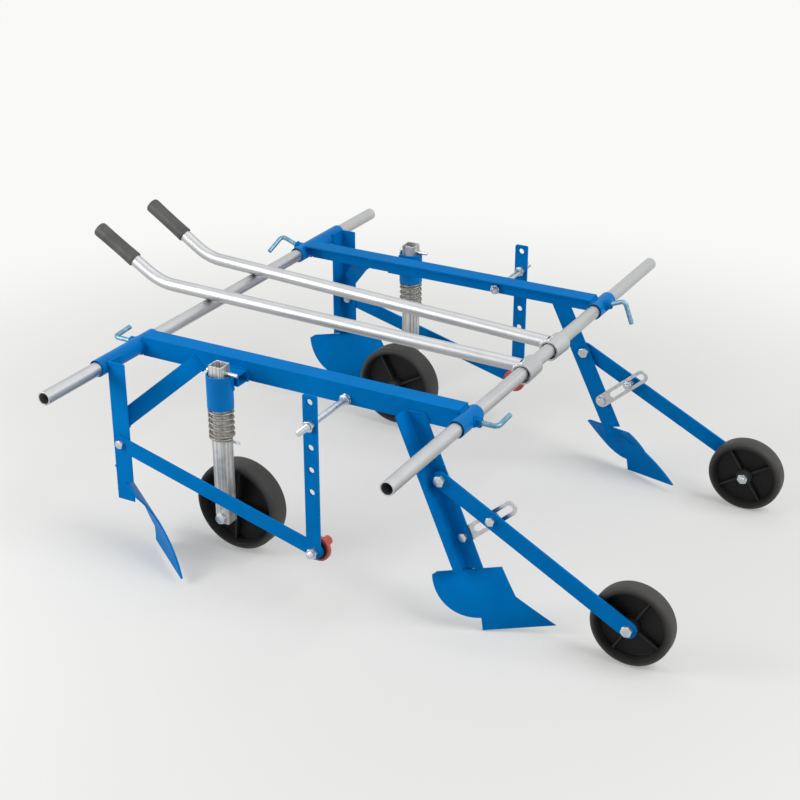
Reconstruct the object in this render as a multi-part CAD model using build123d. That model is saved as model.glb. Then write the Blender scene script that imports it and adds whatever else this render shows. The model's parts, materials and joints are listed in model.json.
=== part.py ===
from build123d import *
import os
from math import atan2, cos, degrees, hypot, radians, sin, sqrt, tan

# Mulch film layer. All sizes in mm: x forward from the rear cross bar, y to the left, z up from the ground.
# The left side frame is modelled and mirrored for the right one. A "drop" is a depth below the beam's top.

# Clearances
fit = 0.1                   # radial, sleeves and turning pieces on their shafts
gap = 0.3                   # between pieces that pass each other

# Cross bars
bar_od = 22
bar_wall = 2
bar_length = 985
bar_spacing = 588

# Angle iron of beams, posts and shanks
angle_leg = 32
angle_t = 3
angle_root_r = 3.5
angle_toe_r = 1.5

# Beam and its sleeves
beam_top = 337
beam_y = 262                # outer face of the upright flange
sleeve_od = 28
rear_sleeve_in = 220
rear_sleeve_out = 367
front_sleeve_in = 225
front_sleeve_out = 289

# Rear post, brace
post_y = 356                # outer face
post_top_drop = 6
post_bottom_drop = 247
weld_bite = 1               # depth of the post's saddle on the sleeve
brace_width = 28
brace_t = 4
brace_post_x = 33
brace_post_drop = 104
brace_beam_x = 118
brace_beam_drop = 22

# Front shank
shank_lean = 25             # degrees forward of upright
shank_x = 481               # its rear corner, carried up to the beam's top face
shank_top_drop = 18
front_splay = 3             # outward lean of shank, gauge arm and gauge wheel, degrees
shank_bottom_drop = 276

# Pressed plates: plough share and covering board
plate_t = 3
plate_curve_r = 145         # front face, rolled to bulge forward
plate_top_in = 28           # straight top edge, both sides of the fixing point
plate_top_out = 70
plate_wing_r = 70
plate_wing_x = 8
plate_wing_drop = 4
plate_height = 94
plate_tip = 101
plate_tip_rise_x = 45       # where the tip's slanting edge starts
plate_tip_rise = 45
share_x = 629.6
share_drop = 245.5
share_y = 273.1
share_turn = 68.4           # outward turn of the working face, degrees
share_rake = 20             # its upward tilt
share_roll = 7.8            # wing end raised
board_scale = 1.245         # covering board's outline against the share's
board_x = 50.8
board_drop = 213
board_y = 359.7
board_turn = 53.3           # inward turn
board_rake = 20

# Press wheel unit
press_x = 191
press_y = 309
guide_od = 42
guide_wall = 3
guide_top_drop = 7
guide_bottom_drop = 63
spacer_length = 41
spacer_height = 19
spacer_top_drop = 14
spacer_wall = 2.5
press_post_w = 25
press_post_wall = 2
press_post_r = 3
press_post_rise = 9         # above the beam's top face
press_post_toe = 10         # below the axle
pin_r = 3
pin_back = 22
pin_front = 34
foot_pin_r = 2.5
foot_pin_drop = 118.5
press_r = 76
press_width = 40
press_wheel_y = 264.5
press_axle_z = 83.5

# Compression spring round the press post
wire_d = 4
spring_od = 41.5
spring_active = 4           # open turns between one closed turn at each end
closed_space = 0.7          # between the wires of a closed turn

# Film arm, height bar, film roll plug
film_arm_w = 25
film_arm_t = 4
film_rear_x = 29
film_rear_drop = 144
film_x = 389
film_drop = 238
washer_t = 2
height_bar_w = 24
height_bar_t = 4
height_bar_edge = 11        # above the top hole
height_hole_r = 5.2
height_hole_pitch = 37
height_holes = 5
height_set = 2              # the hole that is in use, counted from the top
long_bolt_drop = 24
long_bolt_r = 5
long_bolt_in = 246
long_bolt_out = 398
disc_r = 17
disc_t = 2.5
plug_flange_r = 21
plug_flange_t = 6
plug_cone_r = 13
plug_cone_t = 9
plug_nose_r = 8
plug_nose_y = 320
plug_floor = 5              # closed end of the plug's bore
plug_bolt_room = 1          # between that end and the pivot bolt

# Gauge wheel, its arm and slotted link
gauge_pivot_x = 558
gauge_pivot_drop = 113
gauge_x = 866
gauge_r = 63.5
gauge_width = 31
gauge_arm_w = 27
gauge_arm_t = 4
arm_stand_off = 5           # between shank flange and arm
link_x = 596
link_drop = 200
link_angle = 42
link_w = 23
link_t = 3
link_length = 95
slot_w = 10.5
slot_start = 26

# Wheels
wheel_rim = 13
wheel_web = 5
wheel_hub_r = 14
wheel_hub_over = 3          # hub beyond the rim on each side
wheel_rib_t = 5
wheel_rib_sink = 6          # ribs below the rim's edge
wheel_edge_r = 7

# Bolts
m8_r = 4
m8_af = 13
m8_head = 6
m10_r = 5
m10_af = 16
m10_head = 7

# Clamp screws
screw_r = 4
clamp_nut_af = 14
clamp_nut_h = 9
clamp_y = 251
front_screw_reach = 49      # bend, ahead of the bar's axis
rear_screw_reach = 55
screw_lever = 41
screw_bend_r = 8
front_lever_up = 3          # right levers, degrees up from straight inward
rear_lever_up = 4
left_front_lever_up = 275
left_rear_lever_up = 327
left_front_up = 23          # left clamps, degrees raised round the bars
left_rear_up = 20

# Handles
handle_y = 52               # of the eyes
handle_splay = (2.2, 1.1)   # left and right handle, outward to the rear, degrees
handle_od = 22
handle_wall = 2
handle_front_rise = 9       # handle axis above the eye's axis
handle_bend_x = -98
handle_bend_r = 100
handle_rise = 32            # degrees
handle_end = 145            # bend point to the tube's end
grip_od = 27
grip_length = 88
grip_cap = 3
grip_end_r = 5
eye_od = 33.7
eye_wall = 3.25
eye_right = 13              # from the handle's axis to the eye's ends
eye_left = 32
eye_sag = 1.9               # the eye's axis below the bar's

# Derived sizes
bar_r = bar_od / 2
sleeve_r = sleeve_od / 2
bar_z = beam_top - angle_t - sleeve_r
post_x = sleeve_r - weld_bite
guide_r = guide_od / 2
guide_z0 = beam_top - guide_bottom_drop
guide_z1 = beam_top - guide_top_drop
foot_pin_z = beam_top - foot_pin_drop
film_arm_y = post_y
height_bar_y = film_arm_y + film_arm_t + washer_t
film_z = beam_top - film_drop
film_rear_z = beam_top - film_rear_drop
long_bolt_z = beam_top - long_bolt_drop
height_z = [long_bolt_z + height_hole_pitch * (height_set - 1 - i) for i in range(height_holes)]
gauge_arm_y = beam_y + angle_t + arm_stand_off
gauge_pivot_z = beam_top - gauge_pivot_drop
link_z = beam_top - link_drop
link_y = beam_y - gap - link_t
gauge_hub = gauge_width + 2 * wheel_hub_over - 4
gauge_wheel_y = gauge_arm_y - washer_t - gap - gauge_hub / 2
splay = radians(front_splay)
splay_z = beam_top - angle_leg
tread_half = gauge_width / 2 - wheel_edge_r
tyre_drop = (gauge_r - wheel_edge_r) * cos(splay) + tread_half * sin(splay) + wheel_edge_r
gauge_axle_z = splay_z + (tyre_drop - splay_z - (gauge_wheel_y - beam_y) * sin(splay)) / cos(splay)
press_hub = press_width + 2 * wheel_hub_over
eye_r = eye_od / 2
eye_z = bar_z - eye_sag
handle_rest_z = bar_z + bar_r + gap + handle_od / 2
handle_front_z = eye_z + handle_front_rise
handle_slope = (handle_rest_z - handle_front_z) / bar_spacing
handle_bend_z = handle_rest_z - handle_slope * handle_bend_x
grip_dir = (-cos(radians(handle_rise)), sin(radians(handle_rise)))
grip_end_x = handle_bend_x + grip_dir[0] * (handle_end + grip_cap)
grip_end_z = handle_bend_z + grip_dir[1] * (handle_end + grip_cap)

# The slot bolt lies where the link's centre line crosses the gauge arm's centre line.
arm_angle = atan2(gauge_axle_z - gauge_pivot_z, gauge_x - gauge_pivot_x)
link_dir = radians(link_angle)
slot_at = ((link_x - gauge_pivot_x) * sin(arm_angle) - (link_z - gauge_pivot_z) * cos(arm_angle)) / sin(
    link_dir - arm_angle
)
slot_x = link_x + slot_at * cos(link_dir)
slot_z = link_z + slot_at * sin(link_dir)


def cyl_x(radius, y, z, x0, x1):
    return Pos((x0 + x1) / 2, y, z) * Rot(0, 90, 0) * Cylinder(radius, abs(x1 - x0))


def cyl_y(radius, x, z, y0, y1):
    return Pos(x, (y0 + y1) / 2, z) * Rot(90, 0, 0) * Cylinder(radius, abs(y1 - y0))


def cyl_z(radius, x, y, z0, z1):
    return Pos(x, y, (z0 + z1) / 2) * Cylinder(radius, abs(z1 - z0))


def block(x0, x1, y0, y1, z0, z1):
    return Pos((x0 + x1) / 2, (y0 + y1) / 2, (z0 + z1) / 2) * Box(abs(x1 - x0), abs(y1 - y0), abs(z1 - z0))


def hex_x(flats, y, z, x0, x1):
    prism = extrude(RegularPolygon(flats / 2, 6, major_radius=False), abs(x1 - x0) / 2, both=True)
    return Pos((x0 + x1) / 2, y, z) * Rot(0, 90, 0) * prism


def hex_y(flats, x, z, y0, y1):
    prism = extrude(RegularPolygon(flats / 2, 6, major_radius=False), abs(y1 - y0) / 2, both=True)
    return Pos(x, (y0 + y1) / 2, z) * Rot(90, 0, 0) * prism


def upright_plate(face, y0, y1):
    """Plate drawn in x and z, from y0 out to y1."""
    return extrude(Plane.XZ.offset(-y0) * face, amount=y0 - y1)


def stadium(x0, z0, x1, z1, width):
    """Round-ended bar outline between two hole centres."""
    outline = SlotCenterToCenter(hypot(x1 - x0, z1 - z0), width)
    return Pos((x0 + x1) / 2, (z0 + z1) / 2) * Rot(0, 0, degrees(atan2(z1 - z0, x1 - x0))) * outline


def angle_iron(plane, length):
    """Equal angle with its corner at the plane's origin, legs along its x and y, run along its z."""
    a, t = angle_leg, angle_t
    face = make_face(Polyline((0, 0), (a, 0), (a, t), (t, t), (t, a), (0, a), close=True))
    face = fillet(face.vertices().sort_by_distance((t, t))[0], angle_root_r)
    toes = [face.vertices().sort_by_distance(p)[0] for p in ((a, t), (t, a))]
    face = fillet(toes, angle_toe_r)
    return extrude(plane * face, length)


def cross_bar(x):
    outer = cyl_y(bar_r, x, bar_z, -bar_length / 2, bar_length / 2)
    return outer - cyl_y(bar_r - bar_wall, x, bar_z, -bar_length / 2, bar_length / 2)


def clamp_turn(x, side, up):
    """Turn about a cross bar's axis that raises a clamp by up degrees."""
    return Pos(x, 0, bar_z) * Rot(0, -side * up, 0) * Pos(-x, 0, -bar_z)


def sleeve(x, y0, y1, side, up=0):
    """Pipe on a cross bar, drilled for its clamp screw on the side that faces away from the frame."""
    pipe = cyl_y(sleeve_r, x, bar_z, y0, y1) - cyl_y(bar_r + fit, x, bar_z, y0, y1)
    hole = cyl_x(screw_r + fit, clamp_y, bar_z, x, x + side * sleeve_od)
    return pipe - clamp_turn(x, side, up) * hole


def clamp_nut(x, side, up):
    """Nut welded on a sleeve; its foot follows the pipe."""
    nut = hex_x(clamp_nut_af, clamp_y, bar_z, x, x + side * (sleeve_r + clamp_nut_h))
    nut -= cyl_y(sleeve_r, x, bar_z, clamp_y - clamp_nut_af, clamp_y + clamp_nut_af)
    nut -= cyl_x(screw_r + fit, clamp_y, bar_z, x, x + side * (sleeve_r + clamp_nut_h + 1))
    return clamp_turn(x, side, up) * nut


def beam():
    end = sleeve_r * 0.7
    bar = angle_iron(
        Plane((end, beam_y, beam_top), x_dir=(0, -1, 0), z_dir=(1, 0, 0)), bar_spacing - 2 * end
    )
    for x in (0, bar_spacing):
        bar -= cyl_y(sleeve_r, x, bar_z, beam_y - angle_leg - 1, beam_y + 1)
    return bar - cyl_y(long_bolt_r + fit, film_x, long_bolt_z, beam_y - 2 * angle_t, beam_y + 1)


def plate_plane(x, y, z, turn, rake, roll=0):
    """Local frame of a pressed plate: z along its working face's normal, x level but for the roll."""
    a, e, r = radians(turn), radians(rake), radians(roll)
    normal = Vector(cos(e) * cos(a), cos(e) * sin(a), sin(e))
    level = Vector(-sin(a), cos(a), 0)
    return Plane((x, y, z), x_dir=level * cos(r) + normal.cross(level) * sin(r), z_dir=normal)


share_plane = plate_plane(
    share_x, share_y, beam_top - share_drop, share_turn, share_rake, -share_roll
)
board_plane = plate_plane(board_x, board_y, beam_top - board_drop, -board_turn, board_rake)


def plate_axis(radius, scale):
    """Cylinder that a plate is rolled round, in the plate's local frame."""
    height = plate_height * scale
    bow = height**2 / (16 * plate_curve_r)
    return Pos(0, -height / 2, bow - plate_curve_r) * Rot(0, 90, 0) * Cylinder(radius, 4 * plate_tip * scale)


def pressed_plate(plane, tip_side, scale):
    """Rolled plate with a rounded wing and a pointed tip; tip_side is the local x sign of the tip."""
    s = tip_side
    wing_top = -plate_wing_drop
    wing_foot = (-s * (plate_wing_x + plate_wing_r * sin(0.02)), wing_top - plate_wing_r * cos(0.02))
    wing_mid = (-s * (plate_wing_x + plate_wing_r * 0.7071), wing_top - plate_wing_r * 0.7071)
    wing_side = (-s * (plate_wing_x + plate_wing_r), wing_top)
    outline = Polyline(
        wing_side,
        (-s * plate_top_out, 0),
        (s * plate_top_in, 0),
        (s * plate_tip_rise_x, -plate_tip_rise),
        (s * plate_tip, -plate_height),
        (wing_foot[0], -plate_height),
        wing_foot,
    )
    outline += ThreePointArc(wing_foot, wing_mid, wing_side)
    face = make_face(outline).scale(scale)
    prism = extrude(face, plate_height * scale / 3, both=True)
    shell = plate_axis(plate_curve_r, scale) - plate_axis(plate_curve_r - plate_t, scale)
    return plane * (prism & shell)


def plate_seat(plane, scale):
    """Space in front of a plate's back below its top edge, taken out of what carries the plate."""
    reach = plate_height * scale
    room = Pos(0, 1 - reach / 2, reach / 4) * Box(4 * reach, reach, reach)
    return plane * (room - plate_axis(plate_curve_r - plate_t, scale))


def splayed(shape):
    """Lean a front piece outward about the lower edge of the beam's outer face."""
    return Pos(0, beam_y, splay_z) * Rot(front_splay, 0, 0) * Pos(0, -beam_y, -splay_z) * shape


def rear_post():
    top = beam_top - post_top_drop
    plane = Plane((post_x, post_y, top), x_dir=(1, 0, 0), z_dir=(0, 0, -1))
    post = angle_iron(plane, post_bottom_drop - post_top_drop)
    post -= cyl_y(sleeve_r, 0, bar_z, rear_sleeve_in, rear_sleeve_out)
    post -= cyl_y(m8_r, film_rear_x, film_rear_z, post_y - 2 * angle_t, post_y + 1)
    return post - plate_seat(board_plane, board_scale)


def brace():
    """Flat bar from the inner face of the post's outer flange up to the beam's outer face."""
    y0 = post_y - angle_t
    run = Vector(brace_beam_x - brace_post_x, beam_y - y0, brace_post_drop - brace_beam_drop)
    mid = Vector(
        (brace_beam_x + brace_post_x) / 2,
        (beam_y + y0) / 2,
        beam_top - (brace_post_drop + brace_beam_drop) / 2,
    )
    across = run.cross(Vector(0.43, 0.8, 0.42)).normalized()
    plane = Plane(mid, x_dir=run.normalized(), z_dir=run.cross(across).normalized())
    bar = plane * Box(run.length * 1.5, brace_width, brace_t)
    return bar & block(-bar_spacing, bar_spacing, beam_y, y0, 0, 2 * beam_top)


def shank_point(drop):
    """Rear corner of the shank at a depth below the beam's top face."""
    return shank_x + tan(radians(shank_lean)) * drop, beam_top - drop


def shank():
    lean = radians(shank_lean)
    x, z = shank_point(shank_bottom_drop)
    plane = Plane((x, beam_y, z), x_dir=(cos(lean), 0, sin(lean)), z_dir=(-sin(lean), 0, cos(lean)))
    bar = angle_iron(plane, (shank_bottom_drop - shank_top_drop) / cos(lean) + angle_leg)
    for x, z, r in ((gauge_pivot_x, gauge_pivot_z, m10_r), (link_x, link_z, m8_r)):
        bar -= cyl_y(r, x, z, beam_y - 1, beam_y + 2 * angle_t)
    bar = splayed(bar) & block(0, gauge_x, beam_y, 2 * beam_y, 0, beam_top - shank_top_drop)
    return bar - plate_seat(share_plane, 1)


def guide_pipe():
    pipe = cyl_z(guide_r, press_x, press_y, guide_z0, guide_z1)
    return pipe - cyl_z(guide_r - guide_wall, press_x, press_y, guide_z0, guide_z1)


def guide_spacer():
    """Short rectangular tube between beam and guide, open to the front and the back."""
    x0, x1 = press_x - spacer_length / 2, press_x + spacer_length / 2
    y1 = press_y - guide_r + 1.5 * weld_bite
    z1 = beam_top - spacer_top_drop
    z0 = z1 - spacer_height
    w = spacer_wall
    tube = block(x0, x1, beam_y, y1, z0, z1) - block(x0, x1, beam_y + w, y1 - w, z0 + w, z1 - w)
    return tube - cyl_z(guide_r, press_x, press_y, z0 - 1, z1 + 1)


def film_arm():
    face = stadium(film_rear_x, film_rear_z, film_x, film_z, film_arm_w)
    face -= Pos(film_rear_x, film_rear_z) * Circle(m8_r)
    face -= Pos(film_x, film_z) * Circle(m10_r)
    return upright_plate(face, film_arm_y, film_arm_y + film_arm_t)


def height_bar():
    top = height_z[0] + height_bar_edge
    w = height_bar_w
    face = stadium(film_x, film_z, film_x, top - w / 2, w)
    face += Pos(film_x, top - w / 4 - 0.5) * RectangleRounded(w, w / 2 + 1, 3)
    for z in height_z:
        face -= Pos(film_x, z) * Circle(height_hole_r)
    face -= Pos(film_x, film_z) * Circle(m10_r)
    return upright_plate(face, height_bar_y, height_bar_y + height_bar_t)


def long_bolt():
    """Threaded rod with a nut on each face of the beam's flange and of the height bar."""
    rod = cyl_y(long_bolt_r, film_x, long_bolt_z, long_bolt_in, long_bolt_out)
    bar_out = height_bar_y + height_bar_t
    faces = (
        (beam_y - angle_t, -1),
        (beam_y, 1),
        (height_bar_y, -1),
        (bar_out, 1),
    )
    for y, way in faces:
        rod += hex_y(m10_af, film_x, long_bolt_z, y, y + way * m10_head)
    return rod


def film_disc():
    y1 = film_arm_y
    return cyl_y(disc_r, film_x, film_z, y1 - disc_t, y1) - cyl_y(m10_r, film_x, film_z, y1 - disc_t, y1)


def film_plug():
    """Stepped plug that turns on the pivot bolt inside the end of the film roll's core."""
    y1 = film_arm_y - disc_t - gap
    length = y1 - plug_nose_y
    t = plug_flange_t
    half = Polyline(
        (0, 0), (plug_flange_r, 0), (plug_flange_r, t), (plug_cone_r, t + 2), (plug_nose_r, t + plug_cone_t),
        (plug_nose_r, length - 2), (plug_nose_r - 2, length), (0, length), close=True,
    )
    body = revolve(Plane.XZ * make_face(half), Axis.Z)
    bore = length - plug_floor
    body -= Pos(0, 0, bore / 2) * Cylinder(m10_r + fit, bore)
    return Pos(film_x, y1, film_z) * Rot(90, 0, 0) * body


def frame_bolts(front_up=0, rear_up=0):
    """Fasteners of one side frame, a separate solid for each."""
    arm_bolt = cyl_y(m8_r, film_rear_x, film_rear_z, post_y - angle_t - m8_head, post_y + film_arm_t)
    arm_bolt += hex_y(m8_af, film_rear_x, film_rear_z, post_y + film_arm_t, post_y + film_arm_t + m8_head)
    arm_bolt += hex_y(m8_af, film_rear_x, film_rear_z, post_y - angle_t, post_y - angle_t - m8_head)
    y1 = gauge_arm_y + gauge_arm_t + gap
    pivot = cyl_y(m10_r, gauge_pivot_x, gauge_pivot_z, beam_y - m10_head, y1)
    pivot += hex_y(m10_af, gauge_pivot_x, gauge_pivot_z, y1, y1 + m10_head)
    pivot += hex_y(m10_af, gauge_pivot_x, gauge_pivot_z, beam_y, beam_y - m10_head)
    pivot += cyl_y(m10_af / 2, gauge_pivot_x, gauge_pivot_z, beam_y + angle_t, gauge_arm_y - gap)
    link_in = link_y - gap
    link_bolt = cyl_y(m8_r, link_x, link_z, link_in - m8_head, beam_y + angle_t)
    link_bolt += hex_y(m8_af, link_x, link_z, link_in, link_in - m8_head)
    link_bolt += hex_y(m8_af, link_x, link_z, beam_y + angle_t, beam_y + angle_t + m8_head)
    bar_out = height_bar_y + height_bar_t
    tip = plug_nose_y + plug_floor + plug_bolt_room
    film = cyl_y(m10_r, film_x, film_z, tip, bar_out + 2 * m10_head)
    film += hex_y(m10_af, film_x, film_z, bar_out, bar_out + m10_head)
    film += cyl_y(m10_af / 2, film_x, film_z, film_arm_y + film_arm_t, height_bar_y)
    nuts = [clamp_nut(bar_spacing, 1, front_up), clamp_nut(0, -1, rear_up)]
    pieces = (arm_bolt, splayed(pivot), splayed(link_bolt), film, *nuts)
    return Compound([s for piece in pieces for s in piece.solids()])


def wheel(radius, width, hub_length, bore_r):
    """Moulded wheel about the y axis: rounded rim, thin web, hub and four ribs on both sides."""
    half = width / 2
    rim_in = radius - wheel_rim
    profile = Polyline(
        (bore_r, -hub_length / 2), (wheel_hub_r, -hub_length / 2), (wheel_hub_r, -wheel_web / 2),
        (rim_in, -wheel_web / 2), (rim_in + 3, -half), (radius, -half), (radius, half), (rim_in + 3, half),
        (rim_in, wheel_web / 2), (wheel_hub_r, wheel_web / 2), (wheel_hub_r, hub_length / 2),
        (bore_r, hub_length / 2), close=True,
    )
    face = make_face(profile)
    edge = [face.vertices().sort_by_distance((radius, y))[0] for y in (-half, half)]
    face = fillet(edge, wheel_edge_r)
    body = revolve(Plane.XZ * face, Axis.Z)
    reach = rim_in + 1.5 - wheel_hub_r * 0.8
    for turn in range(4):
        rib = Pos(wheel_hub_r * 0.8 + reach / 2, 0, 0) * Box(reach, wheel_rib_t, width - 2 * wheel_rib_sink)
        body += Rot(0, 0, 90 * turn + 30) * rib
    return Rot(90, 0, 0) * body


def gauge_wheel():
    return Pos(gauge_x, gauge_wheel_y, gauge_axle_z) * wheel(gauge_r, gauge_width, gauge_hub, m10_r + fit)


def press_wheel():
    return Pos(press_x, press_wheel_y, press_axle_z) * wheel(press_r, press_width, press_hub, m10_r + fit)


def gauge_arm():
    face = stadium(gauge_pivot_x, gauge_pivot_z, gauge_x, gauge_axle_z, gauge_arm_w)
    face -= Pos(gauge_pivot_x, gauge_pivot_z) * Circle(m10_r + fit)
    face -= Pos(gauge_x, gauge_axle_z) * Circle(m10_r)
    face -= Pos(slot_x, slot_z) * Circle(m8_r)
    return upright_plate(face, gauge_arm_y, gauge_arm_y + gauge_arm_t)


def slotted_link():
    end_x = link_x + link_length * cos(link_dir)
    end_z = link_z + link_length * sin(link_dir)
    slot_from = (link_x + slot_start * cos(link_dir), link_z + slot_start * sin(link_dir))
    face = stadium(link_x, link_z, end_x, end_z, link_w)
    face -= stadium(*slot_from, end_x, end_z, slot_w)
    face -= Pos(link_x, link_z) * Circle(m8_r + fit)
    return upright_plate(face, link_y, link_y + link_t)


def gauge_bolts():
    """Axle bolt of the gauge wheel and the bolt that runs in the link's slot."""
    out = gauge_arm_y + gauge_arm_t
    hub_in = gauge_wheel_y - gauge_hub / 2 - gap
    axle = cyl_y(m10_r, gauge_x, gauge_axle_z, hub_in - m10_head - 3, out)
    axle += hex_y(m10_af, gauge_x, gauge_axle_z, out, out + m10_head)
    axle += hex_y(m10_af, gauge_x, gauge_axle_z, hub_in, hub_in - m10_head)
    axle += cyl_y(m10_af / 2, gauge_x, gauge_axle_z, gauge_arm_y - washer_t, gauge_arm_y)
    link_in = link_y - gap
    slot = cyl_y(m8_r, slot_x, slot_z, link_in - m8_head - 2, out)
    slot += hex_y(m8_af, slot_x, slot_z, out, out + m8_head)
    slot += hex_y(m8_af, slot_x, slot_z, link_in, link_in - m8_head)
    slot += hex_y(m8_af, slot_x, slot_z, gauge_arm_y, link_y + link_t + gap)
    return Compound([s for piece in (axle, slot) for s in piece.solids()])


def press_post():
    z0 = press_axle_z - press_post_toe
    z1 = beam_top + press_post_rise
    face = RectangleRounded(press_post_w, press_post_w, press_post_r)
    inner = press_post_w - 2 * press_post_wall
    face -= RectangleRounded(inner, inner, press_post_r - press_post_wall / 2)
    tube = Pos(press_x, press_y, z0) * extrude(face, z1 - z0)
    for z, r in ((guide_z1 + gap + pin_r, pin_r), (foot_pin_z, foot_pin_r)):
        tube -= cyl_x(r, press_y, z, press_x - press_post_w, press_x + press_post_w)
    return tube - cyl_y(m10_r, press_x, press_axle_z, press_y - press_post_w, press_y + press_post_w)


def press_pins():
    """Stop pin over the guide, spring pin under the spring, axle bolt of the press wheel."""
    stop = cyl_x(pin_r, press_y, guide_z1 + gap + pin_r, press_x - pin_back, press_x + pin_front)
    foot = cyl_x(foot_pin_r, press_y, foot_pin_z, press_x - pin_back, press_x + pin_front)
    out = press_y + press_post_w / 2
    post_in = press_y - press_post_w / 2
    hub_out = press_wheel_y + press_hub / 2 + gap
    hub_in = press_wheel_y - press_hub / 2 - gap
    axle = cyl_y(m10_r, press_x, press_axle_z, hub_in - m10_head - 3, out)
    axle += hex_y(m10_af, press_x, press_axle_z, out, out + m10_head)
    axle += hex_y(m10_af, press_x, press_axle_z, post_in, hub_out)
    axle += hex_y(m10_af, press_x, press_axle_z, hub_in, hub_in - m10_head)
    return Compound([s for piece in (stop, foot, axle) for s in piece.solids()])


def biarc(p0, t0, p1, t1):
    """Two arcs that join two points with given end directions."""
    v = p1 - p0
    t = t0 + t1
    k = 2 * (1 - t0.dot(t1))
    d = (sqrt(v.dot(t) ** 2 + k * v.dot(v)) - v.dot(t)) / k
    joint = (p0 + t0 * d + p1 - t1 * d) / 2
    way = (p1 - t1 * d - p0 - t0 * d).normalized()
    return [TangentArc(p0, joint, tangent=t0), TangentArc(joint, p1, tangent=way)]


def spring():
    """Compression spring: one closed turn at each end, open turns between, in quarter-turn biarcs."""
    r = (spring_od - wire_d) / 2
    z1 = guide_z0 - wire_d / 2
    z0 = foot_pin_z + foot_pin_r + gap + wire_d / 2
    closed = wire_d + closed_space
    pitches = [closed] + [(z1 - z0 - 2 * closed) / spring_active] * spring_active + [closed]
    quarters = 4 * len(pitches)
    heights = [z0]
    for i in range(quarters):
        heights.append(heights[-1] + pitches[i // 4] / 4)
    points, ways = [], []
    for i in range(quarters + 1):
        a = radians(90 * i)
        ends = pitches[max(i - 1, 0) // 4], pitches[min(i, quarters - 1) // 4]
        climb = sum(ends) / 2 / (2 * 3.14159265)
        points.append(Vector(r * cos(a), r * sin(a), heights[i]))
        ways.append(Vector(-r * sin(a), r * cos(a), climb).normalized())
    arcs = []
    for i in range(quarters):
        arcs += biarc(points[i], ways[i], points[i + 1], ways[i + 1])
    path = Wire(arcs)
    turn = 24
    steps = [path @ (i / (turn * len(pitches))) for i in range(turn * len(pitches) + 1)]
    clear = min(
        (a - b).length for i, a in enumerate(steps) for b in steps[i + turn // 2:]
    )
    print("spring: least gap between its own turns", round(clear - wire_d, 2), "mm")
    section = Plane(path @ 0, z_dir=path % 0) * Circle(wire_d / 2)
    return Pos(press_x, press_y, 0) * sweep(section, path)


def clamp_screw(x, side, reach, lever_up, up=0):
    """Bent rod, its screw axis raised from x by up; lever_up turns the lever up from straight inward."""
    a = radians(lever_up)
    lever = Vector(0, -cos(a), sin(a))
    start = Vector(x + side * (bar_r + gap), clamp_y, bar_z)
    plane = Plane(start, x_dir=(side, 0, 0), z_dir=Vector(side, 0, 0).cross(lever))
    run = reach - bar_r - gap
    path = FilletPolyline((0, 0), (run, 0), (run, screw_lever), radius=screw_bend_r)
    path = plane * path
    rod = sweep(Plane(path @ 0, z_dir=path % 0) * Circle(screw_r), path)
    return clamp_turn(x, side, up) * rod


def handle_path():
    front = bar_spacing - eye_r * 0.4
    return FilletPolyline(
        (front, 0, handle_rest_z - handle_slope * front),
        (handle_bend_x, 0, handle_bend_z),
        (handle_bend_x + grip_dir[0] * handle_end, 0, handle_bend_z + grip_dir[1] * handle_end),
        radius=handle_bend_r,
    )


def handle_tube():
    path = handle_path()
    start = Plane(path @ 0, z_dir=path % 0)
    tube = sweep(start * Circle(handle_od / 2), path)
    tube -= sweep(start * Circle(handle_od / 2 - handle_wall), path)
    return tube - cyl_y(eye_r, bar_spacing, eye_z, -handle_od, handle_od)


def handle_eye():
    outer = cyl_y(eye_r, bar_spacing, eye_z, -eye_right, eye_left)
    return outer - cyl_y(eye_r - eye_wall, bar_spacing, eye_z, -eye_right, eye_left)


def grip():
    """Rubber sleeve with a closed, rounded end."""
    body = Pos(0, 0, -grip_length / 2) * Cylinder(grip_od / 2, grip_length)
    body = fillet(body.edges().group_by(Axis.Z)[-1], grip_end_r)
    body -= Pos(0, 0, -grip_cap - grip_length / 2) * Cylinder(handle_od / 2, grip_length)
    return Plane((grip_end_x, 0, grip_end_z), x_dir=(0, 1, 0), z_dir=(grip_dir[0], 0, grip_dir[1])) * body


def side_nodes():
    return {
        "beam": beam(),
        "rear_sleeve": sleeve(0, rear_sleeve_in, rear_sleeve_out, -1),
        "front_sleeve": sleeve(bar_spacing, front_sleeve_in, front_sleeve_out, 1),
        "rear_post": rear_post(),
        "brace": brace(),
        "front_shank": shank(),
        "plough_share": pressed_plate(share_plane, -1, 1),
        "cover_board": pressed_plate(board_plane, 1, board_scale),
        "guide_pipe": guide_pipe(),
        "guide_spacer": guide_spacer(),
        "film_arm": film_arm(),
        "height_bar": height_bar(),
        "long_bolt": long_bolt(),
        "film_disc": film_disc(),
        "frame_bolts": frame_bolts(),
        "front_screw": clamp_screw(bar_spacing, 1, front_screw_reach, front_lever_up),
        "rear_screw": clamp_screw(0, -1, rear_screw_reach, rear_lever_up),
        "film_plug": film_plug(),
        "gauge_arm": splayed(gauge_arm()),
        "gauge_bolts": splayed(gauge_bolts()),
        "slotted_link": splayed(slotted_link()),
        "gauge_wheel": splayed(gauge_wheel()),
        "press_post": press_post(),
        "press_pins": press_pins(),
        "press_spring": spring(),
        "press_wheel": press_wheel(),
    }


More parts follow.
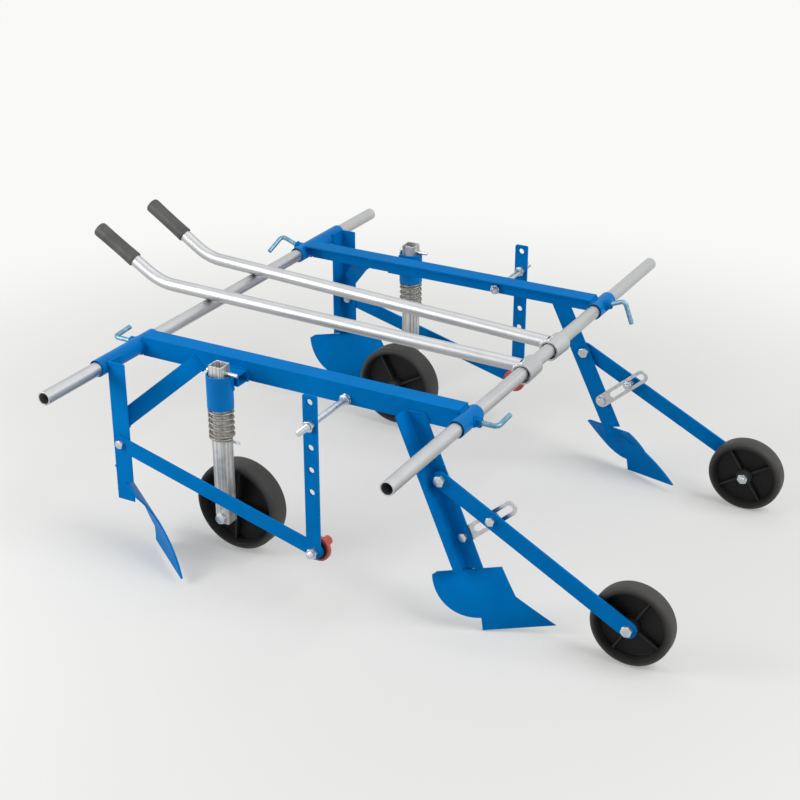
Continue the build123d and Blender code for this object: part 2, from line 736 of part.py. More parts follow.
nodes = {"rear_crossbar": cross_bar(0), "front_crossbar": cross_bar(bar_spacing)}
for name, shape in side_nodes().items():
    nodes["left_" + name] = shape
    nodes["right_" + name] = mirror(shape, about=Plane.XZ)
nodes["left_rear_sleeve"] = sleeve(0, rear_sleeve_in, rear_sleeve_out, -1, left_rear_up)
nodes["left_front_sleeve"] = sleeve(bar_spacing, front_sleeve_in, front_sleeve_out, 1, left_front_up)
nodes["left_frame_bolts"] = frame_bolts(left_front_up, left_rear_up)
nodes["left_front_screw"] = clamp_screw(
    bar_spacing, 1, front_screw_reach, left_front_lever_up, left_front_up
)
nodes["left_rear_screw"] = clamp_screw(0, -1, rear_screw_reach, left_rear_lever_up, left_rear_up)
for side, way, turn in (("left", 1, handle_splay[0]), ("right", -1, handle_splay[1])):
    place = Pos(bar_spacing, way * handle_y, 0) * Rot(0, 0, -way * turn) * Pos(-bar_spacing, 0, 0)
    nodes[side + "_handle_tube"] = place * handle_tube()
    nodes[side + "_handle_eye"] = place * handle_eye()
    nodes[side + "_grip"] = place * grip()

# The row's origin is under the middle of the whole length.
x_rear = min(nodes[side + "_grip"].bounding_box().min.X for side in ("left", "right"))
x_front = nodes["left_gauge_wheel"].bounding_box().max.X
x_mid = (x_rear + x_front) / 2
os.makedirs("parts", exist_ok=True)
for name, shape in nodes.items():
    export_step(Pos(-x_mid, 0, 0) * shape, "parts/" + name + ".step")
print("nodes", len(nodes), "origin ahead of the rear cross bar by", round(x_mid, 3))
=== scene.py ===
import json
import math
import random

import bmesh
import bpy
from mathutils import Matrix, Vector
from mathutils.bvhtree import BVHTree


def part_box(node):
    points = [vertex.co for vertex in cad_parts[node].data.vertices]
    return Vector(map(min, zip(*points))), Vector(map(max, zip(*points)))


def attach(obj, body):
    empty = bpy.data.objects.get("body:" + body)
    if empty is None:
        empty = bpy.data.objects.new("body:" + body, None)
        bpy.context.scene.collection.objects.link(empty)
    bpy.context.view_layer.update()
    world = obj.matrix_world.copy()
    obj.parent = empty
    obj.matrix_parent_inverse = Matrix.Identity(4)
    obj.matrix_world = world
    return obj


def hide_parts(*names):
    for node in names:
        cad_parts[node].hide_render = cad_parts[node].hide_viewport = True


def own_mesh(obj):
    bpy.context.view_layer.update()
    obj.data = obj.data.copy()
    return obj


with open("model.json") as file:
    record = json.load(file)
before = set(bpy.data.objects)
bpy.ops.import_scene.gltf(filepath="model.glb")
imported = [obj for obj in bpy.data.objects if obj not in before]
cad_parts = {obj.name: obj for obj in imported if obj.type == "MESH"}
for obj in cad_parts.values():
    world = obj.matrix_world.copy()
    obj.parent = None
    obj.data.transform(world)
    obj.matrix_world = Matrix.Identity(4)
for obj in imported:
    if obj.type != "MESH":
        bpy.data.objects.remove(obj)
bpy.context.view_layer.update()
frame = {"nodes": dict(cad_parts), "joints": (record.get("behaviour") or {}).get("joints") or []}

# Cross bars: two straight lengths of drawn steel tube, bright zinc plated, sawn square and left open.
# Both side frames slide along them, and the handles hang on the front one.
mm = 0.001


def linear(code):
    """Linear colour of an sRGB hex code."""
    parts = [int(code[i:i + 2], 16) / 255 for i in (1, 3, 5)]
    return [c / 12.92 if c <= 0.04045 else ((c + 0.055) / 1.055) ** 2.4 for c in parts] + [1]


def node(tree, kind, values=None, links=None, **options):
    """Adds a node with its options, the values of its sockets and the links into them."""
    made = tree.nodes.new(kind)
    for name, value in options.items():
        setattr(made, name, value)
    for socket, value in (values or {}).items():
        made.inputs[socket].default_value = value
    for socket, source in (links or {}).items():
        tree.links.new(source, made.inputs[socket])
    return made


def new_finish(name, constants):
    """Starts a material: its nodes, its shader with the constants set, and the place on the piece."""
    made = bpy.data.materials.new(name)
    made.use_nodes = True
    tree = made.node_tree
    skin = tree.nodes["Principled BSDF"]
    for socket, value in constants.items():
        skin.inputs[socket].default_value = value
    return made, tree, skin, node(tree, "ShaderNodeTexCoord").outputs["Object"]


def lay(tree, skin, colour, gloss, relief):
    """Links a finish's colour, roughness and fine relief to its shader."""
    tree.links.new(colour.outputs[2], skin.inputs["Base Color"])
    tree.links.new(gloss.outputs[0], skin.inputs["Roughness"])
    tree.links.new(relief.outputs[0], skin.inputs["Normal"])


def drawn_zinc_tube(name, along):
    """Bright zinc on drawn tube: a soft mirror with faint die lines along the tube and cloudy patches."""
    made, tree, skin, place = new_finish(name, {"Metallic": 1})
    # Die lines are about 0.1 mm apart on the tube; at 2.5 mm they still show in a picture of the whole object.
    apart, long = 2.5 * mm, 220 * mm
    scale = [1 / apart] * 3
    scale["xyz".index(along)] = 1 / long
    stretched = node(tree, "ShaderNodeMapping", {"Scale": scale}, {"Vector": place})
    lines = node(
        tree, "ShaderNodeTexNoise", {"Scale": 1, "Detail": 4, "Roughness": 0.6}, {"Vector": stretched.outputs[0]}
    )
    clouds = node(tree, "ShaderNodeTexNoise", {"Scale": 1 / (38 * mm), "Detail": 3}, {"Vector": place})
    both = node(tree, "ShaderNodeMath", {}, {0: lines.outputs[0], 1: clouds.outputs[0]}, operation="ADD")
    tone = node(tree, "ShaderNodeMapRange", {"From Min": 0.7, "From Max": 1.3}, {"Value": both.outputs[0]})
    # Sockets 6 and 7 of a mix are the two colours that it blends.
    colour = node(
        tree, "ShaderNodeMix", {6: linear("#B3B4B5"), 7: linear("#BEBFC0")}, {0: tone.outputs[0]}, data_type="RGBA"
    )
    gloss = node(
        tree, "ShaderNodeMapRange", {"From Min": 0.3, "From Max": 0.7, "To Min": 0.41, "To Max": 0.47},
        {"Value": lines.outputs[0]},
    )
    relief = node(tree, "ShaderNodeBump", {"Strength": 0.006, "Distance": 0.1 * mm}, {"Height": lines.outputs[0]})
    lay(tree, skin, colour, gloss, relief)
    return made


def dress(name, finish, edge=0.4 * mm):
    """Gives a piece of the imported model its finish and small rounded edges."""
    obj = frame["nodes"][name]
    obj.data.materials.clear()
    obj.data.materials.append(finish)
    if "custom_normal" in obj.data.attributes:
        obj.data.attributes.remove(obj.data.attributes["custom_normal"])
    obj.data.shade_smooth()
    obj.modifiers.new("Joined faces", "WELD").merge_threshold = 0.005 * mm
    bevel = obj.modifiers.new("Rounded edges", "BEVEL")
    bevel.width = edge
    bevel.segments = 2
    bevel.limit_method = "ANGLE"
    bevel.angle_limit = math.radians(38)
    bevel.use_clamp_overlap = True
    bevel.loop_slide = False
    bevel.harden_normals = True


bar_tube = drawn_zinc_tube("bright zinc plated drawn tube, crosswise", "y")
for name in ("rear_crossbar", "front_crossbar"):
    dress(name, bar_tube)

# Beams: a length of hot-rolled steel angle for each side frame, coped over its two sleeves.
# Blue powder coat covers all the welded pieces of a side frame.


def powder_coat(name, colour, shade, shine):
    """Gloss powder coat: an even saturated film with a soft shine and a slight orange-peel ripple."""
    made, tree, skin, place = new_finish(name, {"IOR": 1.5, "Specular IOR Level": shine})
    cloud = node(tree, "ShaderNodeTexNoise", {"Scale": 1 / (45 * mm), "Detail": 3}, {"Vector": place})
    tone = node(tree, "ShaderNodeMapRange", {"From Min": 0.3, "From Max": 0.7}, {"Value": cloud.outputs[0]})
    mixed = node(
        tree, "ShaderNodeMix", {6: linear(shade), 7: linear(colour)}, {0: tone.outputs[0]}, data_type="RGBA"
    )
    # Orange peel has cells of about 1 mm; 3 mm is the smallest that shows at the size of the picture.
    peel = node(tree, "ShaderNodeTexNoise", {"Scale": 1 / (3 * mm), "Detail": 2}, {"Vector": place})
    gloss = node(
        tree, "ShaderNodeMapRange", {"From Min": 0.3, "From Max": 0.7, "To Min": 0.3, "To Max": 0.4},
        {"Value": cloud.outputs[0]},
    )
    relief = node(tree, "ShaderNodeBump", {"Strength": 0.1, "Distance": 0.25 * mm}, {"Height": peel.outputs[0]})
    lay(tree, skin, mixed, gloss, relief)
    return made


sides = (("left", 1), ("right", -1))
blue = powder_coat("blue gloss powder coat", "#0071BB", "#006BB0", 0.01)
for side, _ in sides:
    dress(side + "_beam", blue, 0.6 * mm)

# Sleeves: short pieces of pipe that slide on the cross bars, welded under the ends of the beams.
# Weld beads run along the beam's end and round its cope, and are painted over with the frame.
sleeve_r = 14 * mm
beam_flange = 32 * mm
beam_wall = 3 * mm
rear_bar = sum(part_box("rear_crossbar"), Vector()) / 2
front_bar = sum(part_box("front_crossbar"), Vector()) / 2


def bands(rings, around, closed=False):
    """Faces between rings of points; each ring is closed, and the last one joins the first if asked."""
    faces = []
    for i in range(rings if closed else rings - 1):
        j = (i + 1) % rings
        for k in range(around):
            m = (k + 1) % around
            faces.append((i * around + k, i * around + m, j * around + m, j * around + k))
    return faces


def swept(path, radius, steps, closed=False):
    """Round bar along a line of points; radius is one value, or one for each point."""
    count = len(path)
    path = [Vector(p) for p in path]
    radii = radius if isinstance(radius, list) else [radius] * count
    ways = []
    for i in range(count):
        before = path[i - 1] if closed or i else path[i]
        after = path[(i + 1) % count] if closed or i + 1 < count else path[i]
        ways.append((after - before).normalized())
    side = ways[0].orthogonal().normalized()
    points = []
    for i in range(count):
        side = (side - ways[i] * side.dot(ways[i])).normalized()
        other = ways[i].cross(side)
        for k in range(steps):
            a = 2 * math.pi * k / steps
            points.append(path[i] + (side * math.cos(a) + other * math.sin(a)) * radii[i])
    faces = bands(count, steps, closed)
    if not closed:
        faces += [tuple(range(steps))[::-1], tuple(range((count - 1) * steps, count * steps))]
    return points, faces


def bead(path, size, closed, seed):
    """Weld bead along a line of points, with ripples 2.6 mm apart and a slightly uneven width."""
    ripple, uneven = 2.6 * mm, 0.05 * mm
    dice = random.Random(seed)
    path = [Vector(p) for p in path]
    if closed:
        path.append(path[0])
    line, run, radii = [], 0, []
    for a, b in zip(path, path[1:]):
        pieces = max(1, round((b - a).length / (ripple / 4)))
        for k in range(pieces):
            line.append(a.lerp(b, k / pieces) + Vector([dice.gauss(0, uneven) for _ in range(3)]))
            run += (b - a).length / pieces
            radii.append(size * (0.88 + 0.2 * abs(math.sin(math.pi * run / ripple))))
    if not closed:
        line.append(path[-1])
        radii.append(size * 0.5)
        radii[0] = size * 0.5
    return swept(line, radii, 10, closed)


def arc(centre, u, v, radius, start, end, steps=16):
    """Points on an arc, at angles in degrees from u towards v."""
    angles = [math.radians(start + (end - start) * i / steps) for i in range(steps + 1)]
    return [Vector(centre) + (Vector(u) * math.cos(a) + Vector(v) * math.sin(a)) * radius for a in angles]


def pipe_with_slack(at, y0, y1, lean):
    """Sleeve whose bore is wider than the bar: it bears on one side and shows a dark gap at the other."""
    bore, mouth, slack, deep = 11.1 * mm, 12.5 * mm, lean.normalized() * 0.9 * mm, 12 * mm
    middle, edge = Vector(), 0.4 * mm
    rings = [
        (y0 + edge, sleeve_r, middle), (y1 - edge, sleeve_r, middle), (y1, sleeve_r - edge, middle),
        (y1, mouth, slack), (y1 - deep, mouth, slack), (y1 - deep, bore, middle),
        (y0 + deep, bore, middle), (y0 + deep, mouth, slack), (y0, mouth, slack), (y0, sleeve_r - edge, middle),
    ]
    steps = 64
    points = []
    for y, radius, shift in rings:
        for k in range(steps):
            a = 2 * math.pi * k / steps
            points.append(Vector((at.x + radius * math.cos(a), y, at.z + radius * math.sin(a))) + shift)
    return points, bands(len(rings), steps, True)


def piece(name, shapes, finish, body, stands_for=(), crease=32):
    """Joins shapes, each a list of points and one of faces, into a smooth-shaded mesh that rides on a body."""
    points, faces = [], []
    for shape_points, shape_faces in shapes:
        start = len(points)
        points += shape_points
        faces += [[start + i for i in f] for f in shape_faces]
    mesh = bpy.data.meshes.new(name)
    mesh.from_pydata(points, [], faces)
    work = bmesh.new()
    work.from_mesh(mesh)
    bmesh.ops.remove_doubles(work, verts=work.verts, dist=0.002 * mm)
    bmesh.ops.recalc_face_normals(work, faces=work.faces)
    work.to_mesh(mesh)
    work.free()
    mesh.shade_smooth()
    mesh.set_sharp_from_angle(angle=math.radians(crease))
    mesh.materials.append(finish)
    obj = bpy.data.objects.new(name, mesh)
    bpy.context.scene.collection.objects.link(obj)
    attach(obj, body)
    if stands_for:
        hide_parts(*stands_for)
    return obj


blue_pipe = powder_coat("blue gloss powder coat on pipe", "#0071BB", "#006BB0", 0.07)
weld_beads = {"left": [], "right": []}


def weld(side, line, size, closed=False):
    """Adds a bead to the welds of a side frame; its number there is the seed of its unevenness."""
    weld_beads[side].append(bead(line, size, closed, len(weld_beads[side]) + 1))


for side, out in sides:
    outer = out * max(abs(p.y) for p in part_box(side + "_beam"))
    for name, bar, way in (("rear", rear_bar, 1), ("front", front_bar, -1)):
        ends = sorted(p.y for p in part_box(f"{side}_{name}_sleeve"))
        # The clamp screw pushes the bar away and the bar rests on the sleeve's floor, so the gap is beside and above.
        shapes = [pipe_with_slack(bar, *ends, Vector((-way, 0, 1)))]
        stands_for = [f"{side}_{name}_sleeve"]
        piece(f"{side}_{name}_slide_sleeve", shapes, blue_pipe, side + "_frame", stands_for, 40)
        # One bead lies along the beam's end, and one round the cope on each side of the beam's wall.
        end = bar + Vector((way * 9.4 * mm, 0, sleeve_r - 2.4 * mm))
        along = [Vector((end.x, outer - out * d * mm, end.z)) for d in (1, 31)]
        weld(side, along, 2.8 * mm)
        for depth in (-0.6, 3.6):
            centre = (bar.x, outer - out * depth * mm, bar.z)
            cope = arc(centre, (way, 0, 0), (0, 0, 1), sleeve_r + 0.4 * mm, -72, 38)
            weld(side, cope, 2 * mm)

# Rear posts and braces: a hanging angle that carries the covering board, and a flat bar twisted to the corner
# between beam and post. The post's back is cut to sit on the sleeve; all is arc welded and painted.


def seam(name, y):
    """Outline of a piece where it meets the upright lengthwise plane at y."""
    reach = 0.08 * mm
    near = [v.co for v in frame["nodes"][name].data.vertices if abs(v.co.y - y) < reach]
    found = [Vector(p) for p in {tuple(round(c, 6) for c in point) for point in near}]
    middle = sum(found, Vector()) / len(found)
    return sorted(found, key=lambda p: math.atan2(p.z - middle.z, p.x - middle.x))


for side, _ in sides:
    dress(side + "_rear_post", blue, 0.6 * mm)
    dress(side + "_brace", blue, 0.5 * mm)
    low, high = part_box(side + "_rear_post")
    ends = sorted((low.y, high.y))
    for rise in (5.6, -5.6):
        line = [Vector((low.x - 0.4 * mm, y, rear_bar.z + rise * mm)) for y in ends]
        weld(side, line, 2.4 * mm)
    for name in ("_brace", "_guide_spacer"):
        low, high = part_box(side + name)
        near = min(low.y, high.y, key=abs)
        weld(side, seam(side + name, near), 1.9 * mm, True)
    low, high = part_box(side + "_brace")
    far = max(low.y, high.y, key=abs)
    weld(side, seam(side + "_brace", far), 1.9 * mm, True)

# Front shanks: angle that leans forward, welded flat on the beam's outer face, with the gauge wheel's pivot.
# Its weld runs along the top edge and both slanting edges where it lies on the beam.
shank_lean = math.radians(25)
shank_splay = math.tan(math.radians(3))
shank_flange = 32 * mm
for side, out in sides:
    dress(side + "_front_shank", blue, 0.6 * mm)
    low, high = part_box(side + "_front_shank")
    beam_low, beam_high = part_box(side + "_beam")
    face = out * (max(abs(beam_low.y), abs(beam_high.y)) + 0.7 * mm)
    drop = high.z - (beam_high.z - beam_flange)
    back = Vector((low.x - 0.4 * mm, face, high.z))
    front = back + Vector((shank_flange / math.cos(shank_lean) + 0.8 * mm, 0, 0))
    lean = Vector((math.tan(shank_lean) * drop, 0, -drop))
    weld(side, [back + lean, back, front, front + lean], 2.1 * mm)

# Plough shares and covering boards: 3 mm steel plate, sheared to shape and rolled, welded in a notch at the
# foot of its shank or post. The bead lies in the corner between the angle and the back of the plate.


def corner(plate_name, starts, way):
    """Points where lines along a face of the angle, running one way, meet the plate."""
    mesh = frame["nodes"][plate_name].data
    tree = BVHTree.FromPolygons([v.co for v in mesh.vertices], [p.vertices for p in mesh.polygons])
    hits = [tree.ray_cast(p, way) for p in starts]
    return [h[0] for h in hits if h[0]]


forward = Vector((1, 0, 0))
steps = 8
proud = 0.4 * mm
for side, out in sides:
    dress(side + "_plough_share", blue, 0.5 * mm)
    dress(side + "_cover_board", blue, 0.5 * mm)
    away = Vector((0, out, 0))
    beam_low, beam_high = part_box(side + "_beam")
    face = max(beam_low.y, beam_high.y, key=abs)
    low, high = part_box(side + "_front_shank")
    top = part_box(side + "_plough_share")[1].z
    edge = []
    for k in range(steps + 1):
        z = low.z + (top - low.z) * k / steps
        x = low.x + math.tan(shank_lean) * (high.z - z)
        edge.append(Vector((x, face + out * shank_splay * (beam_low.z - z), z)))
    behind = Vector((-math.cos(shank_lean), 0, -math.sin(shank_lean))) * proud
    lines = [corner(side + "_plough_share", [p - away * proud for p in edge], forward)]
    lines.append(corner(side + "_plough_share", [p + behind for p in edge], away))
    low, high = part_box(side + "_rear_post")
    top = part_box(side + "_cover_board")[1].z
    outer = max(low.y, high.y, key=abs)
    edge = [Vector((low.x, outer, low.z + (top - low.z) * k / steps)) for k in range(steps + 1)]
    lines.append(corner(side + "_cover_board", [p + away * proud for p in edge], forward))
    lines.append(corner(side + "_cover_board", [p - forward * proud for p in edge], -away))
    for line in lines:
        if len(line) > 2:
            weld(side, line, 1.6 * mm)

# Guide pipes: a piece of pipe upright on a short rectangular tube beside the beam; the press wheel's post
# slides in it. Welded to the spacer along two upright lines and round the spacer's top and bottom.
guide_r = 21 * mm
for side, out in sides:
    dress(side + "_guide_pipe", blue_pipe, 0.6 * mm)
    dress(side + "_guide_spacer", blue, 0.5 * mm)
    low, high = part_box(side + "_guide_pipe")
    axis = (low + high) / 2
    low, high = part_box(side + "_guide_spacer")
    for x in (low.x, high.x):
        reach = axis.y - out * math.sqrt(max(0, guide_r ** 2 - (x - axis.x) ** 2))
        line = [Vector((x, reach, z)) for z in (low.z + 1 * mm, high.z - 1 * mm)]
        weld(side, line, 2.2 * mm)
    for z in (low.z, high.z):
        ring = arc((axis.x, axis.y, z), (1, 0, 0), (0, -out, 0), guide_r + 0.3 * mm, 20, 160)
        weld(side, ring, 1.8 * mm)
    piece(side + "_frame_welds", weld_beads[side], blue, side + "_frame", crease=60)

# Film arms and height bars: flat bars with drilled, rounded ends. The arm hangs from the rear post and holds
# the film roll; the height bar's row of holes sets how low it hangs. Both are powder coated and bolted on.
for side, _ in sides:
    dress(side + "_film_arm", blue, 0.5 * mm)
    dress(side + "_height_bar", blue, 0.5 * mm)

# Long bolts: an M10 rod from the beam out to the height bar, with a nut on each face of both.
# Zinc plated; the middle is plain and only the ends are threaded.


def bright_zinc(name, light, dark, rough):
    """Electroplated zinc on small steel pieces: a pale, slightly cloudy metal that is duller in patches."""
    made, tree, skin, place = new_finish(name, {"Metallic": 1})
    cloud = node(tree, "ShaderNodeTexNoise", {"Scale": 1 / (7 * mm), "Detail": 4, "Roughness": 0.65}, {"Vector": place})
    tone = node(tree, "ShaderNodeMapRange", {"From Min": 0.3, "From Max": 0.7}, {"Value": cloud.outputs[0]})
    colour = node(
        tree, "ShaderNodeMix", {6: linear(dark), 7: linear(light)}, {0: tone.outputs[0]}, data_type="RGBA"
    )
    gloss = node(
        tree, "ShaderNodeMapRange", {"From Min": 0.3, "From Max": 0.7, "To Min": rough, "To Max": rough + 0.14},
        {"Value": cloud.outputs[0]},
    )
    relief = node(tree, "ShaderNodeBump", {"Strength": 0.05, "Distance": 0.1 * mm}, {"Height": cloud.outputs[0]})
    lay(tree, skin, colour, gloss, relief)
    return made


def square_to(way):
    """A direction of length 1, and two more square to it and to each other."""
    way = Vector(way).normalized()
    u = way.orthogonal().normalized()
    return way, u, way.cross(u)


def hexagon(at, way, flats, height, bore=0):
    """Bolt head or nut from its seat outwards, with the round chamfer that a real one has on its outer end."""
    way, u, v = square_to(way)
    count = 48
    face = flats * 0.475
    # The chamfer slopes at 30 degrees.
    slope = 0.577
    sunk = 0.6 * mm if bore else 0
    rings = [[], [], [], []]
    for k in range(count):
        a = 2 * math.pi * k / count
        apart = (math.degrees(a) + 30) % 60 - 30
        wide = flats / 2 / math.cos(math.radians(apart))
        ray = u * math.cos(a) + v * math.sin(a)
        rings[0].append(Vector(at) + ray * wide)
        rings[1].append(Vector(at) + ray * wide + way * (height - (wide - face) * slope))
        rings[2].append(Vector(at) + ray * face + way * height)
        rings[3].append(Vector(at) + ray * max(bore, 0.1 * mm) + way * (height - sunk))
    points = [p for ring in rings for p in ring]
    ends = [tuple(range(count))[::-1], tuple(range(3 * count, 4 * count))]
    return points, ends + bands(4, count)


def threaded(at, way, radius, length, pitch):
    """Threaded end of a rod: a helical groove, and a chamfered tip."""
    way, u, v = square_to(way)
    around, steps = 24, max(2, round(length / pitch * 6))
    deep, chamfer = 0.58 * pitch, 1 * mm
    points = []
    for i in range(steps + 1):
        d = length * i / steps
        tip = max(0, chamfer - (length - d))
        for k in range(around):
            turn = (d / pitch - k / around) % 1
            r = radius - deep * (1 - abs(2 * turn - 1)) - tip
            a = 2 * math.pi * k / around
            points.append(Vector(at) + way * d + (u * math.cos(a) + v * math.sin(a)) * r)
    ends = [tuple(range(around))[::-1], tuple(range(steps * around, (steps + 1) * around))]
    return points, bands(steps + 1, around) + ends


def eased(outline, radius, steps=3):
    """Closed outline with its corners rounded to a radius, or less where an edge is short."""
    done = []
    for i, point in enumerate(outline):
        here = Vector(point)
        before = Vector(outline[i - 1]) - here
        after = Vector(outline[(i + 1) % len(outline)]) - here
        angle = before.angle(after)
        if angle > math.radians(155) or min(before.length, after.length) < 1e-7:
            done.append(here)
            continue
        cut = min(radius / math.tan(angle / 2), before.length * 0.45, after.length * 0.45)
        a, b = here + before.normalized() * cut, here + after.normalized() * cut
        for k in range(steps + 1):
            t = k / steps
            done.append(a * (1 - t) ** 2 + here * 2 * t * (1 - t) + b * t * t)
    return done


def turned(outline, at, way, steps):
    """Shape turned round an axis from a closed outline of radius and distance along the axis."""
    way, u, v = square_to(way)
    points = []
    for i in range(steps):
        a = 2 * math.pi * i / steps
        ray = u * math.cos(a) + v * math.sin(a)
        points += [Vector(at) + way * d + ray * r for r, d in outline]
    return points, bands(steps, len(outline), True)


def washer(at, way, inner, outer, thick):
    """Flat washer from its seat outwards, with a rolled-over edge."""
    outline = eased([(inner, 0), (outer, 0), (outer, thick), (inner, thick)], 0.4 * mm, 2)
    return turned(outline, at, way, 48)


def rod(at, way, radius, length):
    """Plain round rod with a small chamfer at both ends."""
    at, way = Vector(at), Vector(way).normalized()
    c = 0.5 * mm
    path = [at, at + way * c, at + way * (length - c), at + way * length]
    return swept(path, [radius - c, radius, radius, radius - c], 32)


# M10: head across its flats and high, nut with its hole, the rod's radius and the thread's pitch.
m10_head = (16 * mm, 6.8 * mm)
m10_nut = (*m10_head, 4.4 * mm)
m10_rod, m10_pitch = 4.95 * mm, 1.5 * mm
plated = bright_zinc("blue passivated zinc fasteners", "#D3D7D9", "#B2BBC0", 0.3)
for side, out in sides:
    low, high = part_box(side + "_long_bolt")
    x, z = (low.x + high.x) / 2, (low.z + high.z) / 2
    inner, outer = sorted((low.y, high.y), key=abs)
    beam_out = max(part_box(side + "_beam"), key=lambda p: abs(p.y)).y
    bar_in, bar_out = sorted((p.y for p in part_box(side + "_height_bar")), key=abs)
    away, back = (0, out, 0), (0, -out, 0)
    washer_thick = 1.4 * mm
    shapes = [
        rod((x, beam_out - out * beam_wall, z), away, 5 * mm, abs(bar_out - beam_out) + 5 * mm),
        threaded((x, bar_out, z), away, m10_rod, abs(outer - bar_out), m10_pitch),
        threaded((x, beam_out - out * beam_wall, z), back, m10_rod, abs(beam_out - inner) - beam_wall, m10_pitch),
        threaded((x, bar_in, z), back, 5.02 * mm, 26 * mm, m10_pitch),
        threaded((x, beam_out, z), away, 5.02 * mm, 18 * mm, m10_pitch),
        hexagon((x, beam_out - out * beam_wall, z), back, *m10_nut),
        washer((x, beam_out, z), away, 5 * mm, 9 * mm, washer_thick),
        hexagon((x, beam_out + out * washer_thick, z), away, 16 * mm, 5.6 * mm, 4.4 * mm),
        hexagon((x, bar_in, z), back, *m10_nut),
        hexagon((x, bar_out, z), away, *m10_nut),
    ]
    piece(side + "_spacing_bolt", shapes, plated, side + "_frame", [side + "_long_bolt"])

# Film roll holders: a stepped plug of red moulded plastic turns on the arm's pivot bolt and sits in the end of
# the film's cardboard core; a black plastic disc keeps it off the arm.


def moulded_plastic(name, colour, bloom, rough, sheen):
    """Injection-moulded plastic: satin skin, fine tool grain, faintly paler patches, and a tread grey from wear and
    painted sheen.
    """
    made, tree, skin, place = new_finish(name, {"IOR": 1.49, "Specular IOR Level": sheen})
    cloud = node(tree, "ShaderNodeTexNoise", {"Scale": 1 / (16 * mm), "Detail": 5, "Roughness": 0.6}, {"Vector": place})
    tone = node(tree, "ShaderNodeMapRange", {"From Min": 0.42, "From Max": 0.72}, {"Value": cloud.outputs[0]})
    mixed = node(
        tree, "ShaderNodeMix", {6: linear(colour), 7: linear(bloom)}, {0: tone.outputs[0]}, data_type="RGBA"
    )
    # The "tread" mark blends in a grey that is partly wear and partly painted sheen, and painted highlight on rib tops.
    tread = node(tree, "ShaderNodeAttribute", attribute_name="tread").outputs["Fac"]
    mixed = node(
        tree, "ShaderNodeMix", {7: linear("#403F3D")}, {0: tread, 6: mixed.outputs[2]}, data_type="RGBA"
    )
    # Tool grain is about 0.2 mm; it is drawn at 1.2 mm, so that it shows at all.
    fine = node(tree, "ShaderNodeTexNoise", {"Scale": 1 / (1.2 * mm), "Detail": 2}, {"Vector": place})
    gloss = node(
        tree, "ShaderNodeMapRange", {"From Min": 0.3, "From Max": 0.7, "To Min": rough - 0.06, "To Max": rough + 0.08},
        {"Value": cloud.outputs[0]},
    )
    relief = node(tree, "ShaderNodeBump", {"Strength": 0.15, "Distance": 0.15 * mm}, {"Height": fine.outputs[0]})
    lay(tree, skin, mixed, gloss, relief)
    return made


red = moulded_plastic("red moulded polypropylene", "#BC4A3E", "#C65A4C", 0.42, 0.5)
black = moulded_plastic("black moulded polypropylene", "#111112", "#191918", 0.5, 0.2)
joint_at = {j["name"]: Vector(j["pos_m"]) for j in frame["joints"] if "pos_m" in j}
joint_axis = {j["name"]: Vector(j["axis"]) for j in frame["joints"]}
for side, out in sides:
    inward = (0, -out, 0)
    low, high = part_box(side + "_film_plug")
    near, far = sorted((low.y, high.y), key=abs)
    axis = joint_at[side + "_film_plug_spin"]
    seat = Vector((axis.x, far, axis.z))
    length = abs(far - near)
    outline = [
        (5.1 * mm, 0), (21 * mm, 0), (21 * mm, 6 * mm), (13.4 * mm, 7.6 * mm), (9 * mm, 15 * mm),
        (8 * mm, 16 * mm), (8 * mm, length - 2 * mm), (6 * mm, length), (0.05 * mm, length),
        (0.05 * mm, length - 5 * mm), (5.1 * mm, length - 5 * mm),
    ]
    plug = [turned(eased(outline, 0.7 * mm), seat, inward, 72)]
    for k in range(6):
        a = math.radians(60 * k + 15)
        ray = Vector((math.cos(a), 0, math.sin(a)))
        foot = seat + Vector((0, -out * 6 * mm, 0)) + ray * 14 * mm
        tip = seat + Vector((0, -out * 16.5 * mm, 0)) + ray * 8.2 * mm
        plug.append(swept([foot, foot.lerp(tip, 0.5), tip], [1.5 * mm, 1.3 * mm, 0.8 * mm], 12))
    piece(side + "_core_plug", plug, red, side + "_film_plug", [side + "_film_plug"])
    low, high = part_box(side + "_film_disc")
    near, far = sorted((low.y, high.y), key=abs)
    thick = abs(far - near)
    outline = [(5 * mm, 0), (17 * mm, 0), (17 * mm, thick * 0.6), (15 * mm, thick), (5 * mm, thick)]
    disc = [turned(eased(outline, 0.5 * mm), (axis.x, far, axis.z), inward, 64)]
    piece(side + "_spacer_disc", disc, black, side + "_frame", [side + "_film_disc"])

